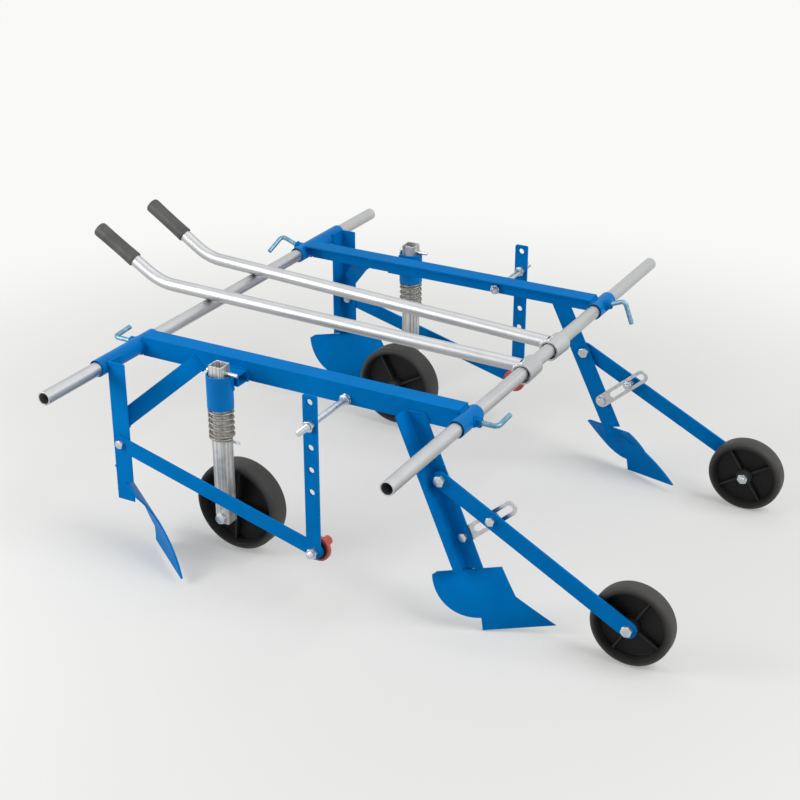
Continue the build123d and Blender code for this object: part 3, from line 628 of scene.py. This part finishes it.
# Frame bolts: zinc plated hexagon bolts, washers and nuts at the film arm, its pivot, the gauge arm's pivot and
# the slotted link. The clamp nuts are welded on the sleeves and painted blue with them.
m8_head = (13 * mm, 5.8 * mm)
m8_nut = (*m8_head, 3.5 * mm)
m8_rod, m8_pitch = 3.95 * mm, 1.25 * mm
clamp_r = 4 * mm
for side, out in sides:
    away, inward = Vector((0, out, 0)), Vector((0, -out, 0))
    shapes = []
    low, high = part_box(side + "_film_arm")
    arm_in, arm_out = sorted((low.y, high.y), key=abs)
    end_r = 12.5 * mm
    x, z = low.x + end_r, high.z - end_r
    shapes.append(hexagon((x, arm_out, z), away, 13 * mm, 5.6 * mm))
    shapes.append(rod((x, arm_out, z), inward, 4 * mm, 10 * mm))
    shapes.append(hexagon((x, arm_in - out * 3 * mm, z), inward, *m8_nut))
    x, z = high.x - end_r, low.z + end_r
    bar_in, bar_out = sorted((p.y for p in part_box(side + "_height_bar")), key=abs)
    shapes.append(washer((x, arm_out, z), away, 4.9 * mm, 8 * mm, abs(bar_in - arm_out)))
    shapes.append(hexagon((x, bar_out, z), away, *m10_nut))
    shapes.append(threaded((x, bar_out, z), away, m10_rod, 14 * mm, m10_pitch))
    plug_in = min(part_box(side + "_film_plug"), key=lambda p: abs(p.y)).y
    shapes.append(rod((x, bar_out, z), inward, m10_rod, abs(bar_out - plug_in) - 6.2 * mm))
    # The gauge arm and its link lean outward with the shank; their joints give the axis.
    out_axis = joint_axis[side + "_gauge_wheel_spin"] * out
    pivot = joint_at[side + "_gauge_arm_swing"]
    shank_in = pivot - out_axis * 8 * mm
    head = pivot + out_axis * 4.3 * mm
    shapes.append(hexagon(head, out_axis, *m10_head))
    shapes.append(rod(head, -out_axis, m10_rod, 17 * mm))
    shapes.append(washer(shank_in + out_axis * 3 * mm, out_axis, 4.9 * mm, 8 * mm, 4.7 * mm))
    shapes.append(hexagon(shank_in, -out_axis, *m10_nut))
    foot = joint_at[side + "_slotted_link_swing"]
    head = foot + out_axis * 6.3 * mm
    shapes.append(hexagon(foot - out_axis * 0.3 * mm, -out_axis, *m8_nut))
    shapes.append(rod(head, -out_axis, m8_rod, 12.2 * mm))
    shapes.append(hexagon(head, out_axis, *m8_head))
    piece(side + "_frame_fasteners", shapes, plated, side + "_frame", [side + "_frame_bolts"])
    nuts = []
    for name in ("front", "rear"):
        axis, run = joint_at[f"{side}_{name}_screw_turn"], joint_axis[f"{side}_{name}_screw_turn"]
        up = run.cross(away)
        nuts.append(hexagon(axis + run * 8 * mm, run, 14 * mm, 14.8 * mm, clamp_r + 0.1 * mm))
        ring, steps, ring_r = [], 40, 7.6 * mm
        for k in range(steps):
            a = 2 * math.pi * k / steps
            y, z = ring_r * math.cos(a), ring_r * math.sin(a)
            ring.append(axis + run * (math.sqrt(sleeve_r ** 2 - z * z) + 0.4 * mm) + away * y + up * z)
        nuts.append(bead(ring, 1.7 * mm, True, 7))
    piece(side + "_clamp_nuts", nuts, blue, side + "_frame", crease=40)

# Clamp screws: M8 rod bent to a short lever, threaded through the welded nut and the sleeve on to the bar.
# Blue paint is rubbed thin on the zinc plated rod; each one turns by hand to free or lock the side frame.
rubbed_blue = bright_zinc("thin blue paint rubbed on zinc plated rod", "#86A7B5", "#4C7F9A", 0.42)
screw_start, bend_r = 11.4 * mm, 8 * mm
for side, _ in sides:
    for name in ("front", "rear"):
        axis, run = joint_at[f"{side}_{name}_screw_turn"], joint_axis[f"{side}_{name}_screw_turn"]
        from_axis = [v.co - axis for v in frame["nodes"][f"{side}_{name}_screw"].data.vertices]
        sideways = [p - run * p.dot(run) for p in from_axis]
        lever_end = max(p.length for p in sideways)
        end = [p for p, q in zip(from_axis, sideways) if q.length > lever_end - 0.5 * mm]
        end = sum(end, Vector()) / len(end)
        reach = end.dot(run)
        lever = (end - run * reach).normalized()
        lever_end = lever.dot(end)
        start = axis + run * screw_start
        bend = axis + run * (reach - bend_r) + lever * bend_r
        path = [start, start + run * 0.6 * mm, axis + run * 24 * mm]
        path += arc(bend, -lever, run, bend_r, 0, 90, 14)
        tip = axis + run * reach + lever * lever_end
        path += [tip - lever * 8 * mm, tip - lever * 0.8 * mm, tip]
        radii = [3.2 * mm] + [m8_rod] * (len(path) - 2) + [3.1 * mm]
        shapes = [swept(path, radii, 28)]
        shapes.append(threaded(start, run, clamp_r, reach - screw_start - 8.5 * mm, m8_pitch))
        body = f"{side}_{name}_screw"
        piece(f"{side}_{name}_clamp_screw", shapes, rubbed_blue, body, [body])

# Gauge wheels: one-piece moulded plastic wheels with a rounded tread, a thin web, a hub and four ribs.
# A parting line runs round the tread where the halves of the mould met.


def moulded_wheel(at, axle, radius, width, hub_length, rib_turn):
    """The wheel's turned body, its ribs on both sides and the parting line."""
    half, rim = width / 2, radius - 13 * mm
    hub, web = hub_length / 2, 2.5 * mm
    steps = 96
    upright = forward.cross(axle).normalized()
    one_side = [
        (5.1 * mm, -hub), (13.2 * mm, -hub), (14 * mm, -web), (rim - 2 * mm, -web), (rim + 2 * mm, -half + 0.6 * mm),
        (rim + 3 * mm, -half), (radius - 7 * mm, -half), (radius - 3.2 * mm, -half + 1.2 * mm),
        (radius - 0.9 * mm, -half + 4 * mm), (radius - 0.2 * mm, -half + 8 * mm),
    ]
    outline = one_side + [(radius, 0)] + [(r, -d) for r, d in reversed(one_side)]
    shapes = [turned(eased(outline, 1.4 * mm), at, axle, steps)]
    inner = radius - 0.5 * mm
    line = [(inner, -0.35 * mm), (radius, -0.15 * mm), (radius, 0.15 * mm), (inner, 0.35 * mm)]
    shapes.append(turned(line, at, axle, steps))
    for k in range(4):
        a = math.radians(90 * k + rib_turn)
        ray = forward * math.cos(a) + upright * math.sin(a)
        side_way = upright * math.cos(a) - forward * math.sin(a)
        for way in (1, -1):
            points = []
            for reach, top in ((11 * mm, half - 5 * mm), (rim + 1.2 * mm, half - 6.4 * mm)):
                rib = ((2 * mm, 3.4 * mm), (3.4 * mm, 2.5 * mm), (top - 0.8 * mm, 1.9 * mm), (top, 1.2 * mm))
                for depth, thick in rib:
                    for hand in (1, -1):
                        points.append(at + ray * reach + side_way * thick * hand + axle * way * depth)
            loop = [0, 2, 4, 6, 7, 5, 3, 1]
            faces = [[loop[i], loop[(i + 1) % 8], loop[(i + 1) % 8] + 8, loop[i] + 8] for i in range(8)]
            faces += [loop[::-1], [i + 8 for i in loop]]
            shapes.append((points, faces))
    return shapes


def wear_and_sheen(wheel, at, axle, radius, width):
    """Marks the tread and shoulders grey, as wear and painted sheen, and the tops of ribs and hub a little, as painted
    highlight.
    """
    mark = wheel.data.attributes.new("tread", "FLOAT", "POINT")
    shoulder, fade, rib_top_sheen = 10 * mm, 6 * mm, 0.3
    # Full grey near the tread is wear and painted sheen; the part given to rib and hub tops is painted highlight.
    for i, v in enumerate(wheel.data.vertices):
        along = axle.dot(v.co - at)
        reach = (v.co - at - axle * along).length
        worn_and_sheen = min(1, max(0, (reach - radius + shoulder) / fade))
        top = abs(along) > width / 2 - 7 * mm and reach < radius - 11 * mm
        mark.data[i].value = max(worn_and_sheen, rib_top_sheen if top else 0)


def fit_wheel(wheel_name, axle, radius, width, hub_length, rib_turn):
    """Makes a moulded wheel in place of its solid, with wear and painted sheen on its tread."""
    at = joint_at[wheel_name + "_spin"]
    shapes = moulded_wheel(at, axle, radius, width, hub_length, rib_turn)
    wheel = piece(wheel_name + "_moulding", shapes, black, wheel_name, [wheel_name])
    wear_and_sheen(wheel, at, axle, radius, width)


for side, rib_turn in (("left", 33), ("right", 60)):
    gauge_axle = joint_axis[side + "_gauge_wheel_spin"]
    fit_wheel(side + "_gauge_wheel", gauge_axle, radius=63.5 * mm, width=31 * mm, hub_length=33 * mm, rib_turn=rib_turn)

# Gauge arms and slotted links: painted flat bar from the shank to the wheel's axle, and a zinc plated strap with
# a long slot. The bolt through the slot locks the arm at the depth wanted.
link_zinc = bright_zinc("zinc plated flat strap", "#D2D4D5", "#B6B8B9", 0.26)
for side, out in sides:
    dress(side + "_gauge_arm", blue, 0.5 * mm)
    dress(side + "_slotted_link", link_zinc, 0.4 * mm)
    out_axis = joint_axis[side + "_gauge_wheel_spin"] * out
    upright = out_axis.cross(forward).normalized() * -out
    pivot, wheel = joint_at[side + "_gauge_arm_swing"], joint_at[side + "_gauge_wheel_spin"]
    seat = wheel + out_axis * (pivot - wheel).dot(out_axis)
    hub_in = wheel - out_axis * 16.8 * mm
    arm_thick = 4 * mm
    outer = out_axis * arm_thick
    shapes = [
        hexagon(seat + outer, out_axis, *m10_head),
        rod(seat + outer, -out_axis, m10_rod, (seat - hub_in).length + arm_thick),
        washer(seat, -out_axis, 4.9 * mm, 8 * mm, 1.9 * mm),
        hexagon(hub_in, -out_axis, *m10_nut),
        threaded(hub_in, -out_axis, m10_rod, 9.8 * mm, m10_pitch),
    ]
    # The slot bolt sits where the centre lines of arm and link cross, in the plane that both turn in.
    foot = joint_at[side + "_slotted_link_swing"]
    head = max((v.co for v in frame["nodes"][side + "_slotted_link"].data.vertices), key=lambda p: (p - foot).length)
    arm_way, link_way, apart = [
        Vector((p.dot(forward), p.dot(upright))) for p in (wheel - pivot, head - foot, foot - pivot)
    ]
    share = (arm_way.x * apart.y - arm_way.y * apart.x) / (link_way.x * arm_way.y - link_way.y * arm_way.x)
    on_link = foot + (forward * link_way.x + upright * link_way.y) * share
    on_arm = on_link + out_axis * (pivot - foot).dot(out_axis)
    gap = (on_arm - on_link).length
    shapes += [
        hexagon(on_arm + outer, out_axis, *m8_head),
        rod(on_arm + outer, -out_axis, m8_rod, gap + arm_thick),
        hexagon(on_link - out_axis * 0.3 * mm, -out_axis, *m8_nut),
        threaded(on_link, -out_axis, m8_rod, 8.2 * mm, m8_pitch),
        hexagon(on_arm, -out_axis, 13 * mm, gap - 3.4 * mm, 3.5 * mm),
    ]
    piece(side + "_gauge_fasteners", shapes, plated, side + "_gauge_arm", [side + "_gauge_bolts"])

# Press posts: square galvanised tube that slides in the guide pipe, cut square at both ends.
# The zinc shows its flat crystals, the spangle, and faint lines along the tube.


def spangled_zinc(name):
    """Hot-dip galvanised tube: grey crystals about 9 mm across that catch the light differently, and die lines."""
    made, tree, skin, place = new_finish(name, {"Metallic": 1})
    crystal = node(tree, "ShaderNodeTexVoronoi", {"Scale": 1 / (9 * mm), "Randomness": 1}, {"Vector": place})
    grey = node(tree, "ShaderNodeRGBToBW", {}, {0: crystal.outputs["Color"]})
    # Die lines, as on the cross bars, are drawn 3.4 mm apart to show.
    apart, long = 3.4 * mm, 260 * mm
    stretched = node(tree, "ShaderNodeMapping", {"Scale": (1 / apart, 1 / apart, 1 / long)}, {"Vector": place})
    lines = node(tree, "ShaderNodeTexNoise", {"Scale": 1, "Detail": 3}, {"Vector": stretched.outputs[0]})
    both = node(tree, "ShaderNodeMath", {1: 0.08}, {0: grey.outputs[0], 2: lines.outputs[0]}, operation="MULTIPLY_ADD")
    tone = node(tree, "ShaderNodeMapRange", {"From Min": 0.36, "From Max": 0.72}, {"Value": both.outputs[0]})
    colour = node(
        tree, "ShaderNodeMix", {6: linear("#8E8E8D"), 7: linear("#E0E0DE")}, {0: tone.outputs[0]}, data_type="RGBA"
    )
    gloss = node(
        tree, "ShaderNodeMapRange", {"From Min": 0.2, "From Max": 0.8, "To Min": 0.54, "To Max": 0.62},
        {"Value": grey.outputs[0]},
    )
    relief = node(tree, "ShaderNodeBump", {"Strength": 0.06, "Distance": 0.1 * mm}, {"Height": lines.outputs[0]})
    lay(tree, skin, colour, gloss, relief)
    return made


spangle = spangled_zinc("spangled galvanised square tube")
for side, _ in sides:
    dress(side + "_press_post", spangle, 0.4 * mm)

# Press pins: a headed stop pin over the guide, a split pin under the spring and the wheel's axle bolt.
# The split pin is half-round wire folded to an eye, its two legs bent apart after it was pushed through.
for side, out in sides:
    away, inward = Vector((0, out, 0)), Vector((0, -out, 0))
    low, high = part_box(side + "_press_pins")
    post_low, post_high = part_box(side + "_press_post")
    mid = (post_low + post_high) / 2
    stop = Vector((low.x, mid.y, high.z - 3 * mm))
    shapes = [rod(stop, forward, 2.9 * mm, high.x - low.x)]
    core, head_r, head_long = 0.05 * mm, 2.98 * mm, 3 * mm
    outline = [(core, 0), (head_r, 0), (head_r, head_long), (core, head_long)]
    shapes.append(turned(eased(outline, 0.8 * mm), stop, forward, 32))
    foot_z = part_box(side + "_press_spring")[0].z - 0.3 * mm - 2.5 * mm
    wire = 1.1 * mm
    for hand in (1, -1):
        spread = Vector((0, 0, hand * wire))
        start = Vector((low.x + 7 * mm, mid.y, foot_z))
        eye = arc(start - forward * 3.4 * mm, (-1, 0, 0), (0, 0, hand), 2.2 * mm, 0, 120, 8)
        tip = Vector((high.x - 1.2 * mm, mid.y, foot_z)) + spread
        bent = Vector((0, 0, hand * 0.28 * mm))
        leg = eye + [start + spread, tip - forward * 14 * mm, tip - forward * 6 * mm + bent, tip + bent]
        shapes.append(swept(leg, wire, 12))
    x, z = joint_at[side + "_press_wheel_spin"].xz
    post_in, post_out = sorted((post_low.y, post_high.y), key=abs)
    hub_in, hub_out = sorted((p.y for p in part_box(side + "_press_wheel")), key=abs)
    room = 0.3 * mm
    nut_y = hub_in - out * room
    shapes += [
        hexagon((x, post_out, z), away, *m10_head),
        rod((x, post_out, z), inward, m10_rod, abs(post_out - hub_in)),
        hexagon((x, post_in, z), inward, 16 * mm, abs(post_in - hub_out) - room, 4.4 * mm),
        hexagon((x, nut_y, z), inward, *m10_nut),
        threaded((x, nut_y, z), inward, m10_rod, 9.8 * mm, m10_pitch),
    ]
    piece(side + "_press_fasteners", shapes, plated, side + "_press_post", [side + "_press_pins"])

# Press springs: cold-wound compression springs of 4 mm wire round the post, with a closed turn at each end.
# They bear on the guide pipe above and the split pin below; the real ones shorten as the wheel is pushed up, and this
# coil keeps one length on the frame.
wire_r = 2 * mm
spring_steel = bright_zinc("phosphated spring wire", "#A29D97", "#78746E", 0.46)
for side, out in sides:
    low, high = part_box(side + "_press_spring")
    axis = (low + high) / 2
    coil_r = (high.x - low.x) / 2 - wire_r
    closed_turn = 4.7 * mm
    open_turns = 4
    rise = high.z - low.z - 2 * wire_r
    pitches = [closed_turn] + [(rise - 2 * closed_turn) / open_turns] * open_turns + [closed_turn]
    path = []
    steps = 40
    height = low.z + wire_r
    for pitch in pitches:
        for k in range(steps):
            a = 2 * math.pi * k / steps
            path.append(Vector((axis.x + coil_r * math.cos(a), axis.y + out * coil_r * math.sin(a), height)))
            height += pitch / steps
    path.append(Vector((axis.x + coil_r, axis.y, height)))
    spring = piece(
        side + "_coil_spring", [swept(path, wire_r, 16)], spring_steel, side + "_frame", [side + "_press_spring"],
    )
    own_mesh(spring)

# Press wheels: the same black plastic moulding in a larger size, turning on the bolt through the post's foot.
# They roll on the film's edge and press it into the furrow that the share has cut.
for side, rib_turn in (("left", 30), ("right", 84)):
    press_axle = Vector((0, 1, 0))
    fit_wheel(side + "_press_wheel", press_axle, radius=76 * mm, width=40 * mm, hub_length=46 * mm, rib_turn=rib_turn)

# Handles: zinc plated tube bent up at the rear, welded to a short piece of larger pipe that turns on the front
# cross bar. The weld is ground and plated with the tube.
handle_zinc = drawn_zinc_tube("bright zinc plated drawn tube, lengthwise", "x")
handle_splay = {"left": 2.2, "right": 1.1}
for side, out in sides:
    dress(side + "_handle_tube", handle_zinc)
    dress(side + "_handle_eye", bar_tube, 0.6 * mm)
    low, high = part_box(side + "_handle_eye")
    eye = (low + high) / 2
    eye_r = (high.z - low.z) / 2
    points = [v.co for v in frame["nodes"][side + "_handle_tube"].data.vertices]
    front = [p for p in points if p.x > front_bar.x - 30 * mm]
    front = sum(front, Vector()) / len(front)
    turn = math.radians(handle_splay[side])
    run = Vector((-math.cos(turn), out * math.sin(turn), 0))
    across = Vector((out * math.sin(turn), math.cos(turn), 0))
    middle = eye + across * (front - eye).dot(across)
    ring, steps, tube_r, rise = [], 48, 11.4 * mm, 9 * mm
    for k in range(steps):
        a = 2 * math.pi * k / steps
        y, z = tube_r * math.cos(a), rise + tube_r * math.sin(a)
        z = min(z, eye_r * 0.97)
        ring.append(middle + run * math.sqrt(eye_r ** 2 - z * z) + across * y + Vector((0, 0, z)))
    shapes = [bead(ring, 1.8 * mm, True, 11)]
    piece(side + "_handle_weld", shapes, plated, side + "_handle", crease=60)

# Grips: dark grey sleeves of soft PVC, dipped on the ends of the handles and held by their own grip.
# Each has a closed, rounded end and a rolled lip, and is a little slimmer in the middle.


def dipped_rubber(name):
    """Dipped soft PVC: a dull, slightly uneven skin that is a little shinier where hands have rubbed it."""
    made, tree, skin, place = new_finish(name, {"IOR": 1.52, "Specular IOR Level": 0.4})
    rubbed = node(tree, "ShaderNodeTexNoise", {"Scale": 1 / (22 * mm), "Detail": 3}, {"Vector": place})
    tone = node(tree, "ShaderNodeMapRange", {"From Min": 0.35, "From Max": 0.7}, {"Value": rubbed.outputs[0]})
    mixed = node(
        tree, "ShaderNodeMix", {6: linear("#414140"), 7: linear("#4B4B49")}, {0: tone.outputs[0]}, data_type="RGBA"
    )
    # The skin's dimples are about 0.5 mm; drawn at 2 mm to show.
    dimple = node(tree, "ShaderNodeTexNoise", {"Scale": 1 / (2 * mm), "Detail": 2}, {"Vector": place})
    gloss = node(
        tree, "ShaderNodeMapRange", {"From Min": 0.35, "From Max": 0.7, "To Min": 0.62, "To Max": 0.5},
        {"Value": rubbed.outputs[0]},
    )
    relief = node(tree, "ShaderNodeBump", {"Strength": 0.2, "Distance": 0.2 * mm}, {"Height": dimple.outputs[0]})
    lay(tree, skin, mixed, gloss, relief)
    return made


rubber = dipped_rubber("dark grey dipped soft PVC")
grip_rise = math.radians(32)
for side, out in sides:
    turn = math.radians(handle_splay[side])
    level = math.cos(grip_rise)
    back = Vector((-level * math.cos(turn), out * level * math.sin(turn), math.sin(grip_rise)))
    grip_r, grip_length, inner, closed = 13.5 * mm, 88 * mm, 11.1 * mm, 3 * mm
    points = [v.co for v in frame["nodes"][side + "_grip"].data.vertices]
    far = max(p.dot(back) for p in points)
    end = [p for p in points if p.dot(back) > far - 0.05 * mm]
    tip = sum(end, Vector()) / len(end)
    outline = [
        (0.05 * mm, 0), (grip_r - 5 * mm, 0), (grip_r - 2 * mm, 0.9 * mm), (grip_r - 0.5 * mm, 3 * mm),
        (grip_r - 0.1 * mm, 6 * mm), (grip_r - 0.5 * mm, 30 * mm), (grip_r - 0.5 * mm, 60 * mm),
        (grip_r - 0.2 * mm, grip_length - 9 * mm), (grip_r, grip_length - 5 * mm), (grip_r, grip_length - 2 * mm),
        (grip_r - 1 * mm, grip_length), (inner, grip_length), (inner, closed), (0.05 * mm, closed),
    ]
    piece(
        side + "_rubber_grip", [turned(eased(outline, 1 * mm), tip, -back, 64)], rubber, side + "_handle",
        [side + "_grip"],
    )

# Studio: a plain pale floor that grows lighter away from the object, three soft lamps, a white surround and the
# camera. The surround and the far floor look bright to the eye and in mirrors, and give less light than they show.


def seen_directly(tree):
    """1 for a ray from the eye, a mirror or clear material, and 0 for one that carries light."""
    ray = node(tree, "ShaderNodeLightPath")
    direct = ray.outputs["Is Camera Ray"]
    for kind in ("Is Glossy Ray", "Is Transmission Ray"):
        direct = node(tree, "ShaderNodeMath", {}, {0: direct, 1: ray.outputs[kind]}, operation="MAXIMUM").outputs[0]
    return direct


def pale_floor(name):
    """Matt pale floor that holds the object's shadow and passes into an even near-white ground further out."""
    made, tree, skin, place = new_finish(
        name, {"Base Color": linear("#D3D3D1"), "Roughness": 0.7, "Specular IOR Level": 0.1}
    )
    far = node(tree, "ShaderNodeVectorMath", {}, {0: place}, operation="LENGTH")
    tone = node(
        tree, "ShaderNodeMapRange", {"From Min": 0.6, "From Max": 1.6, "To Min": 0.3}, {"Value": far.outputs["Value"]},
        interpolation_type="SMOOTHSTEP",
    )
    share = node(tree, "ShaderNodeMath", {}, {0: tone.outputs[0], 1: seen_directly(tree)}, operation="MULTIPLY")
    ground = node(tree, "ShaderNodeEmission", {"Color": linear("#F9F9F7"), "Strength": 1})
    mixed = node(tree, "ShaderNodeMixShader", {}, {0: share.outputs[0], 1: skin.outputs[0], 2: ground.outputs[0]})
    tree.links.new(mixed.outputs[0], tree.nodes["Material Output"].inputs["Surface"])
    return made


floor_mesh = bpy.data.meshes.new("floor")
reach = 30
floor_corners = [(-reach, -reach, 0), (reach, -reach, 0), (reach, reach, 0), (-reach, reach, 0)]
floor_mesh.from_pydata(floor_corners, [], [(0, 1, 2, 3)])
floor_mesh.materials.append(pale_floor("pale studio floor"))
floor = bpy.data.objects.new("floor", floor_mesh)
bpy.context.scene.collection.objects.link(floor)

aim = Vector((0, 0, 0.15))
for name, place, size, power in (
    ("key", (2.7, 0.2, 2.8), 2.5, 95),
    ("fill", (-1.2, -1.2, 0.95), 0.8, 18),
    ("top", (-0.5, 0.8, 3.8), 3, 24),
):
    lamp = bpy.data.lights.new(name, "AREA")
    lamp.size = size
    lamp.energy = power
    lamp_at = bpy.data.objects.new(name, lamp)
    lamp_at.location = place
    lamp_at.rotation_euler = (aim - Vector(place)).to_track_quat("-Z", "Y").to_euler()
    lamp_at.visible_camera = False
    bpy.context.scene.collection.objects.link(lamp_at)

world = bpy.data.worlds.new("white studio")
bpy.context.scene.world = world
world.use_nodes = True
sky = world.node_tree
sky.nodes.clear()
strength = node(sky, "ShaderNodeMapRange", {"To Min": 0.38, "To Max": 0.96}, {"Value": seen_directly(sky)})
light = node(sky, "ShaderNodeBackground", {"Color": linear("#FFFFFF")}, {"Strength": strength.outputs[0]})
node(sky, "ShaderNodeOutputWorld", {}, {"Surface": light.outputs[0]})

lens = bpy.data.cameras.new("camera")
lens.lens = 71.9
lens.sensor_width = 36
camera = bpy.data.objects.new("camera", lens)
camera.location = (1.158263, -2.1325, 1.3377)
looks_down, looks_left = 25.23, 28.77
camera.rotation_euler = (math.radians(90 - looks_down), 0, math.radians(looks_left))
bpy.context.scene.collection.objects.link(camera)
bpy.context.scene.camera = camera
bpy.context.scene.view_settings.view_transform = "Standard"
